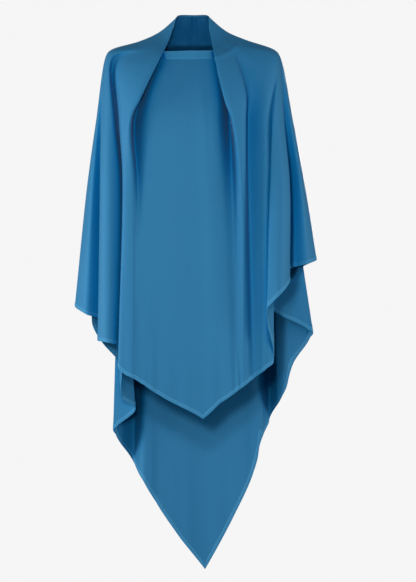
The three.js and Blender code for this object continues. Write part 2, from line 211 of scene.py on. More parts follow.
RIGHT_BACK = (
    ("right wing corner", 0.515, 0.953, 0.07, 0.99, 0.05, 0.985, 0.04, 0.9, -0.02, 0.4137),
    ("right inner fold", 0.53, 0.95, 0.13, 0.975, 0.14, 0.95, 0.15, 0.63, 0.1, 0.494),
    ("right corner front", 0.557, 0.932, 0.244, 0.944, 0.307, 0.906, 0.344, 0.94, 0.276, 0.5362),
    ("right tail pleat", 0.56, 0.93, 0.26, 0.94, 0.33, 0.9, 0.37, 0.982, 0.3, 0.542),
    ("right corner back", 0.566, 0.923, 0.28, 0.933, 0.354, 0.896, 0.4, 0.959, 0.332, 0.5501),
    ("right tail fold", 0.6, 0.88, 0.4, 0.89, 0.5, 0.87, 0.58, 0.82, 0.53, 0.6),
    ("right tail crown", 0.64, 0.79, 0.53, 0.8, 0.62, 0.8, 0.7, 0.75, 0.6, 0.65),
    ("right groove", 0.69, 0.67, 0.65, 0.67, 0.8, 0.665, 1.0, 0.62, 1.02, 0.712),
    ("right tail side", 0.75, 0.53, 0.74, 0.55, 0.84, 0.57, 0.88, 0.55, 0.77, 0.749),
    ("right tail plain", 0.84, 0.31, 0.81, 0.32, 0.89, 0.36, 0.93, 0.4925, 0.8, 0.8083),
    ("right tail lower", 0.92, 0.15, 0.84, 0.16, 0.92, 0.19, 0.94, 0.3, 0.84, 0.908),
)
# Each row holds the fields of a RingPoint, from the chin to the nape.
LEFT_FACE_EDGE = (
    (0, -0.2, -1.0, -0.05),
    (0.1, -0.97, -0.88, -0.06),
    (0.15, -1.04, -0.76, -0.03),
    (0.22, -0.8, -0.34, 0.42),
    (0.3, -0.6, 0.1, 0.9),
    (0.5, -0.5, 0.34, 0.98),
    (1, -0.03, 0.7, 1.0),
)
LEFT_NECK_SEAM = (
    (0, -0.12, -0.97, -0.3),
    (0.1, -0.52, -0.9, -0.29),
    (0.15, -0.66, -0.68, -0.27),
    (0.22, -0.645, -0.95, -0.26),
    (0.3, -0.62, -1.2, -0.26),
    (0.36, -0.78, -0.92, -0.08),
    (0.43, -0.9, -0.5, 0.14),
    (0.5, -0.98, -0.03, 0.24),
    (0.6, -0.88, 0.5, 0.06),
    (0.75, -0.56, 0.88, -0.18),
    (1, -0.02, 1.0, -0.34),
)
RIGHT_FACE_EDGE = (
    (0, -0.2, -1.0, -0.05),
    (0.1, 0.5, -0.88, -0.04),
    (0.15, 0.66, -0.76, -0.01),
    (0.22, 0.5, -0.34, 0.42),
    (0.3, 0.44, 0.1, 0.9),
    (0.5, 0.38, 0.34, 0.98),
    (1, -0.03, 0.7, 1.0),
)
RIGHT_NECK_SEAM = (
    (0, -0.12, -0.97, -0.3),
    (0.1, 0.31, -0.9, -0.28),
    (0.15, 0.45, -0.68, -0.27),
    (0.22, 0.41, -0.95, -0.27),
    (0.3, 0.36, -1.2, -0.27),
    (0.36, 0.6, -0.92, -0.1),
    (0.43, 0.78, -0.5, 0.14),
    (0.5, 0.9, -0.03, 0.28),
    (0.6, 0.8, 0.5, 0.06),
    (0.75, 0.52, 0.88, -0.18),
    (1, -0.02, 1.0, -0.34),
)


@dataclass(frozen=True)
class Half:
    """One side of the veil: its two rings, and the share of half the breadth that its shoulder reaches."""

    face_edge: tuple[tuple[float, ...], ...]
    neck_seam: tuple[tuple[float, ...], ...]
    reach: float


LEFT_HALF = Half(LEFT_FACE_EDGE, LEFT_NECK_SEAM, 1.0)
RIGHT_HALF = Half(RIGHT_FACE_EDGE, RIGHT_NECK_SEAM, 0.955)

TINY = 1e-3
SHOULDER_EASE = 3
EDGE_STEP = 0.02
LEAST_SINE = 0.12
GHOSTS = 2
CURVE_REACH = (-1, 0, 1, 2)


def curve_points(
    before: np.ndarray, start: np.ndarray, end: np.ndarray, after: np.ndarray, share: np.ndarray
) -> np.ndarray:
    """Points on a centripetal Catmull-Rom curve between start and end.

    Args:
        before: The control points before start, shape (..., 3).
        start: The control points where the stretch begins.
        end: The control points where it ends.
        after: The control points after end.
        share: How far along the stretch, 0 to 1, shape (..., 1).

    Returns:
        The points, in the shape that the inputs broadcast to.
    """

    def knot(a: np.ndarray, b: np.ndarray) -> np.ndarray:
        """The square root of a chord, never quite zero."""
        return np.maximum(TINY, np.sqrt(np.linalg.norm(b - a, axis=-1, keepdims=True)))

    t1 = knot(before, start)
    t2 = t1 + knot(start, end)
    t3 = t2 + knot(end, after)
    t = t1 + share * (t2 - t1)

    def mix(a: np.ndarray, b: np.ndarray, ta: np.ndarray, tb: np.ndarray) -> np.ndarray:
        """The point at t on the line that passes a at ta and b at tb."""
        return a * (tb - t) / (tb - ta) + b * (t - ta) / (tb - ta)

    zero = np.zeros_like(t1)
    a1 = mix(before, start, zero, t1)
    a2 = mix(start, end, t1, t2)
    a3 = mix(end, after, t2, t3)
    return mix(mix(a1, a2, zero, t2), mix(a2, a3, t1, t3), t1, t2)


def with_ends(points: np.ndarray) -> np.ndarray:
    """Adds a point beyond each end of an open curve, mirrored through it.

    Args:
        points: The curve's points, shape (count, 3).

    Returns:
        The points with the two new ones.
    """
    first = 2 * points[:1] - points[1:2]
    last = 2 * points[-1:] - points[-2:-1]
    return np.concatenate([first, points, last])


def with_ghosts(values: np.ndarray, axis: int) -> np.ndarray:
    """Adds two values beyond each end of an axis, in the same steps.

    Args:
        values: The values.
        axis: The axis to make longer.

    Returns:
        The values with the new ones.
    """
    values = np.moveaxis(values, axis, 0)
    first = values[1] - values[0]
    last = values[-1] - values[-2]
    wide = [values[0] - 2 * first, values[0] - first, *values, values[-1] + last, values[-1] + 2 * last]
    return np.moveaxis(np.array(wide), 0, axis)


def grid_normals(points: np.ndarray) -> np.ndarray:
    """The outward normals of a grid of points, without its outer ring.

    Args:
        points: The points, shape (columns, rows, 3).

    Returns:
        The normals, shape (columns - 2, rows - 2, 3).
    """
    across = points[2:, 1:-1] - points[:-2, 1:-1]
    down = points[1:-1, 2:] - points[1:-1, :-2]
    return unit(np.cross(across, down))


def unit(vectors: np.ndarray) -> np.ndarray:
    """The vectors at length 1."""
    return vectors / np.maximum(TINY, np.linalg.norm(vectors, axis=-1, keepdims=True))


def smoothstep(low: float, high: float, value: np.ndarray) -> np.ndarray:
    """0 below low, 1 above high and smooth between."""
    share = np.clip((value - low) / (high - low), 0, 1)
    return share * share * (3 - 2 * share)


def bell(value: np.ndarray, middle: float, width: float) -> np.ndarray:
    """1 at the middle, falling off smoothly over a width to each side."""
    return np.exp(-(((value - middle) / width) ** 2))


def rows_between(start: np.ndarray, end: np.ndarray, count: int) -> np.ndarray:
    """Evenly spaced places down between two levels, one row of them for each column."""
    share = np.linspace(0, 1, count + 1)
    return start[:, None] + (end - start)[:, None] * share


@dataclass(frozen=True)
class Wave:
    """A family of soft creases that run down the cloth.

    count is how many go round the cloth, height is theirs at the hem in millimetres, phase and lean are
    turns, lean for each metre of drop, and patches is how often they come and go round the cloth.
    """

    count: int
    height: float
    phase: float
    lean: float
    patches: int

    def swing(self, turn: np.ndarray, height: np.ndarray) -> np.ndarray:
        """The creases' own in and out, between -1 and 1."""
        return np.cos(FULL_TURN * (self.count * turn + self.lean * height * MM + self.phase))

    def patch(self, turn: np.ndarray) -> np.ndarray:
        """Where the creases come and go, between -1 and 1."""
        return np.cos(FULL_TURN * (self.patches * turn + self.phase))


WAVES = (
    Wave(11, 1.5, 0.1, 0.3, 3),
    Wave(16, 1.1, 0.45, -0.35, 4),
    Wave(23, 0.6, 0.7, 0.45, 5),
    Wave(32, 0.25, 0.25, -0.6, 7),
)
HEM_WAVES = (
    Wave(41, 0.8, 0.3, 0.0, 5),
    Wave(67, 0.4, 0.65, 0.0, 9),
)


@dataclass(frozen=True)
class Creases:
    """The fine creases of the cloth, beside its folds.

    The waves are fuller towards the hem and calm over the smooth middle of the front. A dent lies across
    the nape and a ridge along the right neck seam: their heights are millimetres, their levels and widths
    are counted in levels, and their reaches in folds.
    """

    calm: float = 0.85
    calm_width: float = 0.17
    hem_flare: float = 0.35
    hem_least: float = 0.4
    nape_height: float = -1.6
    nape_level: float = 1.2
    nape_width: float = 0.1
    nape_reach: tuple[float, float] = (7.0, 10.0)
    ridge_height: float = 2.6
    ridge_level: float = 2.02
    ridge_width: float = 0.13
    ridge_shift: float = 0.4
    ridge_reach: float = 2.3

    def fullness(self, down: np.ndarray) -> np.ndarray:
        """The share of their full height that the waves have at places down the cloth.

        Args:
            down: Places down, counted in levels.

        Returns:
            The shares.
        """
        shares = {
            Level.EDGE: 0.12,
            Level.SEAM: 0.2,
            Level.ARM: 0.3,
            Level.YOKE: 0.5,
            Level.BREAST: 0.8,
            Level.HEM: 1.0,
        }
        return np.interp(down, [level.value for level in shares], list(shares.values()))

    def running(self, turn: np.ndarray, down: np.ndarray, height: np.ndarray) -> np.ndarray:
        """How far the waves push the cloth outwards.

        Args:
            turn: Places round the cloth as shares of its girth, shape (columns, 1).
            down: Places down, shape (columns, rows).
            height: The Z of each place in millimetres.

        Returns:
            The push in millimetres.
        """
        from_front = np.mod(turn + 0.5, 1) - 0.5
        calm = 1 - self.calm * bell(from_front, 0.0, self.calm_width)
        push = np.zeros(down.shape)
        for wave in WAVES:
            push += wave.height * (0.5 + 0.5 * wave.patch(turn)) * wave.swing(turn, height)
        push *= self.fullness(down) * calm
        at_hem = smoothstep(Level.HEM.value - self.hem_flare, Level.HEM.value, down)
        for wave in HEM_WAVES:
            patch = self.hem_least + (1 - self.hem_least) * wave.patch(turn) ** 2
            push += wave.height * patch * at_hem * wave.swing(turn, height)
        return push

    def lying(self, down: np.ndarray, from_nape: np.ndarray, from_crown: np.ndarray) -> np.ndarray:
        """How far the dent at the nape and the ridge at the seam push the cloth outwards.

        Args:
            down: Places down, shape (columns, rows).
            from_nape: How many folds each column lies from the nape, shape (columns, 1).
            from_crown: How many folds it lies past the right soft fold.

        Returns:
            The push in millimetres.
        """
        near_nape = 1 - smoothstep(*self.nape_reach, from_nape)
        dent = self.nape_height * bell(down, self.nape_level, self.nape_width) * near_nape
        near_crown = bell(from_crown, self.ridge_shift, self.ridge_reach)
        return dent + self.ridge_height * (bell(down, self.ridge_level, self.ridge_width) * near_crown)


@dataclass
class Patch:
    """A patch of the cloth: its places down and round, and its points and normals in millimetres."""

    down: np.ndarray
    points: np.ndarray
    normals: np.ndarray
    way: np.ndarray


class Cloth:
    """The veil's middle surface, as a smooth skin over its folds."""

    def __init__(self, sizes: Sizes) -> None:
        """Works out the points of every fold.

        Args:
            sizes: The veil's driving sizes.
        """
        self.sizes = sizes
        self.fine = Creases()
        self.place: dict[str, int] = {}
        lines: list[np.ndarray] = []
        for half, rows, length in self._quarters():
            for fold in (Fold(*row) for row in rows):
                self.place[fold.name] = len(lines)
                lines.append(self._fold_line(fold, half, length))
        self.padded = np.array([with_ends(line) for line in lines])
        self.count = len(lines)
        self._measure_round()

    def _quarters(self) -> list[tuple[Half, tuple[tuple, ...], float]]:
        """The folds in order round the body, from the front centre by the left side to the back.

        Returns:
            The side, the rows and the length of each quarter.
        """
        s = self.sizes
        return [
            (LEFT_HALF, (FRONT_CENTRE, *LEFT_FRONT), s.front_length),
            (LEFT_HALF, (*LEFT_BACK, TAIL_POINT), s.back_length),
            (RIGHT_HALF, RIGHT_BACK[::-1], s.back_length),
            (RIGHT_HALF, RIGHT_FRONT[::-1], s.front_length),
        ]

    def _on_ring(self, rows: tuple[tuple, ...], neck: float, breadth: float, depth: float) -> np.ndarray:
        """The point of a ring at one place round the neck.

        Args:
            rows: The ring's rows from the chin to the nape.
            neck: The place, 0 at the chin and 1 at the nape.
            breadth: The ring's breadth.
            depth: The ring's depth.

        Returns:
            The point in millimetres.
        """
        ring = [RingPoint(*row) for row in rows]
        scale = np.array([breadth / 2, depth / 2, self.sizes.hood_rise])
        points = with_ends(np.array([[p.x, p.y, p.z] for p in ring]) * scale)
        necks = [p.neck for p in ring]
        i = min(len(necks) - 2, int(np.searchsorted(necks, neck, side="right")) - 1)
        share = np.array([(neck - necks[i]) / (necks[i + 1] - necks[i])])
        return curve_points(*points[i : i + len(CURVE_REACH)], share)

    def _fold_line(self, fold: Fold, half: Half, length: float) -> np.ndarray:
        """The points of one fold, one for each level.

        Args:
            fold: The fold.
            half: The side of the veil that it lies on.
            length: The length of the front or the back.

        Returns:
            An array of points in millimetres, from the face edge down to the hem.
        """
        s = self.sizes

        def at(x: float, breadth: float, y: float, depth: float, drop: float) -> np.ndarray:
            """A point from its shares of a breadth and a depth."""
            return np.array([x * breadth / 2, y * depth / 2, -drop])

        edge = self._on_ring(half.face_edge, fold.neck, s.neck_breadth, s.neck_depth)
        seam = self._on_ring(half.neck_seam, fold.neck, s.collar_breadth, s.collar_depth)
        middle = (edge + seam) / 2
        middle[2] -= s.hood_sag * float(smoothstep(*s.standing, np.array(fold.neck)))
        towards_side = min(1.0, abs(fold.shoulder_x) / half.reach) ** SHOULDER_EASE
        shoulder_drop = s.throat_drop + (s.shoulder_drop - s.throat_drop) * towards_side
        shoulder = at(fold.shoulder_x, s.shoulder_breadth, fold.shoulder_y, s.chest_depth, shoulder_drop)
        yoke = at(fold.yoke_x, s.yoke_breadth, fold.yoke_y, s.chest_depth, s.yoke_drop)
        on_top = s.turn_top[0] + (s.turn_top[1] - s.turn_top[0]) * towards_side
        on_arm = s.turn_arm[0] + (s.turn_arm[1] - s.turn_arm[0]) * towards_side
        return np.array([
            edge,
            middle,
            seam,
            shoulder + (seam - shoulder) * on_top,
            shoulder + (yoke - shoulder) * on_arm,
            yoke,
            at(fold.breast_x, s.breast_breadth, fold.breast_y, s.chest_depth, s.breast_drop),
            at(fold.hem_x, s.hem_breadth, fold.hem_y, s.hem_depth, fold.drop * length),
        ])

    def _measure_round(self) -> None:
        """Measures the way round the cloth at the breast, which spaces the soft creases evenly."""
        samples = 16
        self.round_places = np.linspace(0, self.count, self.count * samples + 1)
        level = np.full((len(self.round_places), 1), float(Level.BREAST.value))
        points = self.smooth_points(self.round_places, level)[:, 0]
        steps = np.linalg.norm(np.diff(points, axis=0), axis=1)
        self.girth = float(steps.sum())
        self.round_lengths = np.concatenate([[0], np.cumsum(steps)])

    def way_round(self, across: np.ndarray) -> np.ndarray:
        """How far round the cloth each place lies, at the breast.

        Args:
            across: Places across, counted in folds.

        Returns:
            The lengths in millimetres.
        """
        turns = np.floor(across / self.count)
        within = np.interp(across - turns * self.count, self.round_places, self.round_lengths)
        return within + turns * self.girth

    def smooth_points(self, across: np.ndarray, down: np.ndarray) -> np.ndarray:
        """The cloth at a grid of places, without its soft creases.

        Args:
            across: Places across, counted in folds, shape (columns,).
            down: Places down, counted in levels, shape (columns, rows).

        Returns:
            The points in millimetres, shape (columns, rows, 3).
        """
        level = np.clip(np.floor(down).astype(int), 0, Level.HEM.value - 1)
        share_down = (down - level)[..., None]
        fold = np.floor(across).astype(int)
        share_across = (across - fold)[:, None, None]
        around = []
        for step in CURVE_REACH:
            line = self.padded[(fold + step) % self.count]
            picked = [np.take_along_axis(line, (level + 1 + k)[..., None], axis=1) for k in CURVE_REACH]
            around.append(curve_points(*picked, share_down))
        point = curve_points(*around, share_across)
        start, end = around[1][..., 2], around[2][..., 2]
        straight = start + (end - start) * share_across[..., 0]
        towards_hem = np.clip(down - Level.BREAST.value, 0, 1)
        point[..., 2] += (straight - point[..., 2]) * towards_hem
        return point

    def creases(self, across: np.ndarray, down: np.ndarray, height: np.ndarray) -> np.ndarray:
        """How far the fine creases push the cloth outwards.

        Args:
            across: Places across, shape (columns,).
            down: Places down, shape (columns, rows).
            height: The Z of each place in millimetres.

        Returns:
            The push in millimetres, shape (columns, rows).
        """
        turn = (self.way_round(across) / self.girth)[:, None]
        from_nape = np.abs(across - self.place["tail point"])[:, None]
        past_crown = across - self.place["right soft fold"]
        from_crown = np.mod(past_crown + self.count / 2, self.count) - self.count / 2
        running = self.fine.running(turn, down, height)
        return running + self.fine.lying(down, from_nape, from_crown[:, None])

    def patch(self, across: np.ndarray, down: np.ndarray) -> Patch:
        """The cloth with its creases and its true normals, on a grid with two ghosts on each side.

        Args:
            across: Places across with the ghosts, shape (columns,).
            down: Places down with the ghosts, shape (columns, rows).

        Returns:
            The patch without its ghosts.
        """
        smooth = self.smooth_points(across, down)
        inside = (slice(1, -1), slice(1, -1))
        push = self.creases(across, down, smooth[..., 2])[inside]
        points = smooth[inside] + grid_normals(smooth) * push[..., None]
        keep = slice(GHOSTS, -GHOSTS)
        way = self.way_round(across[keep])
        return Patch(down=down[keep, keep], points=points[inside], normals=grid_normals(points), way=way)

    def line(self, across: np.ndarray, level: Level, inset: float) -> np.ndarray:
        """Finds a line that is set in from a level, square to the edge there.

        Args:
            across: Places across, shape (columns,).
            level: The level.
            inset: How far in the line lies, in millimetres.

        Returns:
            The line's places down, shape (columns,).
        """
        at = np.full((len(across), 1), float(level.value))
        inwards = -1 if level is Level.HEM else 1
        ahead = self.smooth_points(across + EDGE_STEP, at)
        behind = self.smooth_points(across - EDGE_STEP, at)
        along_edge = (ahead - behind)[:, 0]
        along_edge /= np.linalg.norm(along_edge, axis=-1, keepdims=True)
        inside = self.smooth_points(across, at + inwards * EDGE_STEP)
        along_fold = (inside - self.smooth_points(across, at))[:, 0] / EDGE_STEP
        square = np.linalg.norm(np.cross(along_edge, along_fold), axis=-1)
        share = inset / np.maximum(square, LEAST_SINE * np.linalg.norm(along_fold, axis=-1))
        return level.value + inwards * share

    def columns(self, start: str, end: str, steps: int) -> np.ndarray:
        """Places across from one fold to another.

        Args:
            start: The first fold's name.
            end: The last fold's name.
            steps: How many steps there are to a fold.

        Returns:
            The places, counted in folds.
        """
        first = self.place[start]
        last = self.place[end]
        if last <= first:
            last += self.count
        return np.linspace(first, last, (last - first) * steps + 1)


@dataclass(frozen=True)
class FoldDepth:
    """Measures how open the cloth lies at each place, 1 on a free crown and 0 at the bottom of a fold.

    The measure is the share of rays that leave the cloth without meeting it again within a short reach.
    The crepe's colour is painted darker where it is low, as painted shade in folds and recesses.
    """

    reach: float = 280
    rays: int = 40
    lift: float = 1.2
    stride: int = 3
    upright: float = 0.9

    def tree(self, patches: list[Patch]) -> BVHTree:
        """The whole cloth as a tree to cast rays at.

        Args:
            patches: The patches of the cloth.

        Returns:
            The tree, in millimetres.
        """
        verts: list[list[float]] = []
        faces: list[list[int]] = []
        for patch in patches:
            grid = patch.points[:: self.stride, :: self.stride]
            index = np.arange(grid[..., 0].size).reshape(grid.shape[:2]) + len(verts)
            quads = np.stack([index[:-1, :-1], index[1:, :-1], index[1:, 1:], index[:-1, 1:]], axis=-1)
            verts.extend(grid.reshape(-1, 3).tolist())
            faces.extend(quads.reshape(-1, 4).tolist())
        return BVHTree.FromPolygons(verts, faces)

    def _rays(self) -> np.ndarray:
        """Directions spread over a half sphere round +Z, more of them near its middle.

        Returns:
            The directions, shape (rays, 3).
        """
        golden = math.pi * (3 - math.sqrt(5))
        i = np.arange(self.rays)
        rise = np.sqrt(1 - (i + 0.5) / self.rays)
        out = np.sqrt(1 - rise * rise)
        return np.stack([out * np.cos(golden * i), out * np.sin(golden * i), rise], axis=1)

    def _picked(self, count: int) -> np.ndarray:
        """Every few places of a row, and its last."""
        return np.unique(np.append(np.arange(0, count, self.stride), count - 1))

    def measure(self, tree: BVHTree, patch: Patch, face: Face) -> np.ndarray:
        """How open each place of a patch lies on one face.

        Args:
            tree: The whole cloth.
            patch: The patch to measure.
            face: The face of the cloth.

        Returns:
            Values from 0 to 1, shape (columns, rows).
        """
        n_columns, n_rows = patch.down.shape
        picked_columns, picked_rows = self._picked(n_columns), self._picked(n_rows)
        pick = np.ix_(picked_columns, picked_rows)
        normals = patch.normals[pick] * face.value
        starts = patch.points[pick] + normals * self.lift
        slanted = np.abs(normals[..., 2:]) < self.upright
        side = np.cross(np.where(slanted, [[[0.0, 0.0, 1.0]]], [[[1.0, 0.0, 0.0]]]), normals)
        side /= np.linalg.norm(side, axis=-1, keepdims=True)
        axes = np.stack([side, np.cross(normals, side), normals], axis=-2)
        directions = np.einsum("ri,...ic->...rc", self._rays(), axes)
        coarse = np.zeros(starts.shape[:2])
        for place in np.ndindex(coarse.shape):
            start = Vector(starts[place])
            total = 0.0
            for direction in directions[place]:
                distance = tree.ray_cast(start, Vector(direction), self.reach)[3]
                total += 1.0 if distance is None else distance / self.reach
            coarse[place] = total / self.rays
        wide = np.array([np.interp(np.arange(n_columns), picked_columns, column) for column in coarse.T]).T
        return np.array([np.interp(np.arange(n_rows), picked_rows, row) for row in wide])


def linked_object(name: str, points: np.ndarray, faces: np.ndarray) -> Object:
    """Makes a smooth-shaded object and links it to the scene.

    Args:
        name: The object's name.
        points: Its points in millimetres, shape (points, 3).
        faces: The points of each face, shape (faces, 4).

    Returns:
        The object.
    """
    mesh = bpy.data.meshes.new(name)
    mesh.from_pydata((points * MM).tolist(), [], faces.tolist())
    mesh.polygons.foreach_set("use_smooth", np.ones(len(faces), bool))
    mesh.update()
    obj = bpy.data.objects.new(name, mesh)
    bpy.context.scene.collection.objects.link(obj)
    return obj


@dataclass
class SheetMesh:
    """A closed mesh of a thin sheet over a patch of the cloth.

    wall is how far each face stands off the middle surface, shape (columns, rows).
    """

    name: str
    patch: Patch
    wall: np.ndarray

    def build(self) -> Object:
        """Makes the object.

        Returns:
            The object, linked to the scene.
        """
        off_middle = self.wall[..., None] * self.patch.normals
        surfaces = {face: self.patch.points + off_middle * face.value for face in Face}
        index = np.arange(self.wall.size).reshape(self.wall.shape)
        a, b = index[:-1, :-1].ravel(), index[1:, :-1].ravel()
        c, d = index[1:, 1:].ravel(), index[:-1, 1:].ravel()
        faces = np.concatenate([
            np.stack([a, b, c, d], axis=1),
            np.stack([a, d, c, b], axis=1) + index.size,
            self._rim(index[:, 0], index.size, False),
            self._rim(index[:, -1], index.size, True),
            self._rim(index[0, :], index.size, True),
            self._rim(index[-1, :], index.size, False),
        ])
        points = np.concatenate([surface.reshape(-1, 3) for surface in surfaces.values()])
        obj = linked_object(self.name, points, faces)
        obj.data.normals_split_custom_set_from_vertices(self._shading(surfaces).tolist())
        self._lay_flat(obj.data)
        return obj

    @staticmethod
    def _rim(edge: np.ndarray, layer: int, forward: bool) -> np.ndarray:
        """The faces that close one side of the sheet."""
        near, far = (edge[:-1], edge[1:]) if forward else (edge[1:], edge[:-1])
        return np.stack([near, far, far + layer, near + layer], axis=1)

    def _shading(self, surfaces: dict[Face, np.ndarray]) -> np.ndarray:
        """The shading normals of both faces, true also where the wall's thickness changes.

        Args:
            surfaces: The points of each face.

        Returns:
            The normals, shape (points, 3).
        """
        even = np.ptp(self.wall) < TINY
        found = []
        for face, surface in surfaces.items():
            wide = with_ghosts(with_ghosts(surface, 0), 1)[1:-1, 1:-1]
            normals = self.patch.normals if even else grid_normals(wide)
            found.append((normals * face.value).reshape(-1, 3))
        return np.concatenate(found)

    def _lay_flat(self, mesh: Mesh) -> None:
        """Lays the cloth flat in its UV map, in metres: the way round it, and the way down.

        Args:
            mesh: The mesh to give a map.
        """
        steps = np.linalg.norm(np.diff(self.patch.points, axis=1), axis=-1)
        down = np.concatenate([np.zeros((len(steps), 1)), np.cumsum(steps, axis=1)], axis=1)
        way = np.broadcast_to(self.patch.way[:, None], down.shape)
        place = np.stack([way, down], axis=-1).reshape(-1, 2) * MM
        both = np.concatenate([place, place])
        corners = np.zeros(len(mesh.loops), int)
        mesh.loops.foreach_get("vertex_index", corners)
        layer = mesh.uv_layers.new(name="cloth")
        layer.data.foreach_set("uv", both[corners].ravel())


@dataclass
class Piece:
    """A piece of the veil that is cut from the cloth between two folds.

    PROFILE gives the wall's share of its full thickness at places down the piece, each from 0 to 1, and
    ROWS how many rows of faces lie between each two of its stops.
    """

    PROFILE: ClassVar[dict[float, float]] = {0: 1, 1: 1}
    ROWS: ClassVar[tuple[int, ...]] = ()

    cloth: Cloth
    name: str
    replaces: tuple[str, ...]
    finish: Finish
    start: str
    end: str
    thickness: float
    steps_across: int = 10

    def stops(self) -> list[tuple[Level, float]]:
        """The lines down the piece, each as a level and how far in from it the line lies in millimetres."""
        raise NotImplementedError

    def cut(self) -> Patch:
        """Cuts the piece out of the cloth.

        Returns:
            The piece's patch.
        """
        across = with_ghosts(self.cloth.columns(self.start, self.end, self.steps_across), 0)
        lines = [self.cloth.line(across, level, inset) for level, inset in self.stops()]
        parts = [rows_between(*part)[:, 1:] for part in zip(lines, lines[1:], self.ROWS)]
        down = np.concatenate([lines[0][:, None], *parts], axis=1)
        return self.cloth.patch(across, with_ghosts(down, 1))

    def build(
        self, patch: Patch, material: Material, depths: dict[Face, np.ndarray]
    ) -> Object:
        """Makes the piece's object, hangs it on the body and hides the imported parts that it replaces.

        Args:
            patch: The piece's patch of the cloth.
            material: Its material.
            depths: How open it lies on each face.

        Returns:
            The object.
        """
        down = np.linspace(0, 1, patch.down.shape[1])
        profile = np.interp(down, list(self.PROFILE), list(self.PROFILE.values())) * self.thickness / 2
        obj = SheetMesh(self.name, patch, np.broadcast_to(profile, patch.down.shape)).build()
        # How open each place lies and which face it is: the crepe paints shade from these into folds,
        # recesses and the inside face.
        values = {
            "openness": np.concatenate([depths[face].ravel() for face in Face]),
            "inside": np.repeat([0.0, 1.0], patch.down.size),
        }
        for name, value in values.items():
            obj.data.attributes.new(name, "FLOAT", "POINT").data.foreach_set("value", value)
        obj.data.materials.append(material)
        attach(obj, BODY)
        if self.replaces:
            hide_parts(*self.replaces)
        LOG.info("%s: %d faces", self.name, len(obj.data.polygons))
        return obj


@dataclass
class Hood(Piece):
    """The standing cloth between the face edge and the neck."""

    ROWS = (36,)

    def stops(self) -> list[tuple[Level, float]]:
        """The face edge and the neck seam."""
        return [(Level.EDGE, 0), (Level.SEAM, 0)]


@dataclass
class Band(Hood):
    """The doubled band that stands under the chin, pressed thin at both seams and full between them."""

    PROFILE = {0: 0.3, 0.04: 0.75, 0.12: 0.9, 0.5: 1.0, 0.88: 0.9, 0.96: 0.7, 1: 0.3}


@dataclass
class Drape(Piece):
    """The front or the back drape, from the neck seam down to its hem."""

    ROWS = (84, 70)

    def stops(self) -> list[tuple[Level, float]]:
        """The neck seam, the breast and where the hem begins."""
        return [(Level.SEAM, 0), (Level.BREAST, 0), (Level.HEM, self.cloth.sizes.hem_width)]


@dataclass
class Hem(Piece):
    """The rolled hem along the cut edge.

    It is thin where it meets the cloth, pressed in along the stitches, and full and round at the edge.
    """

    PROFILE = {0: 0.41, 0.08: 0.85, 0.17: 0.72, 0.33: 0.95, 0.58: 1.0, 0.83: 0.9, 0.92: 0.7, 1: 0.2}
    ROWS = (12,)

    def stops(self) -> list[tuple[Level, float]]:
        """Where the hem begins, and the cut edge."""
        return [(Level.HEM, self.cloth.sizes.hem_width), (Level.HEM, 0)]


@dataclass
class FaceEdge(Piece):
    """The narrow rolled edge round the face, which wraps the hood's cut edge and sinks into the cloth."""

    PROFILE = {0: 0.2, 0.1: 0.7, 0.3: 1, 0.7: 0.95, 0.9: 0.8, 1: 0.45}
    ROWS = (10,)

    def stops(self) -> list[tuple[Level, float]]:
        """The cut edge, and a little way into the hood."""
        return [(Level.EDGE, 0), (Level.EDGE, self.cloth.sizes.edge_width)]


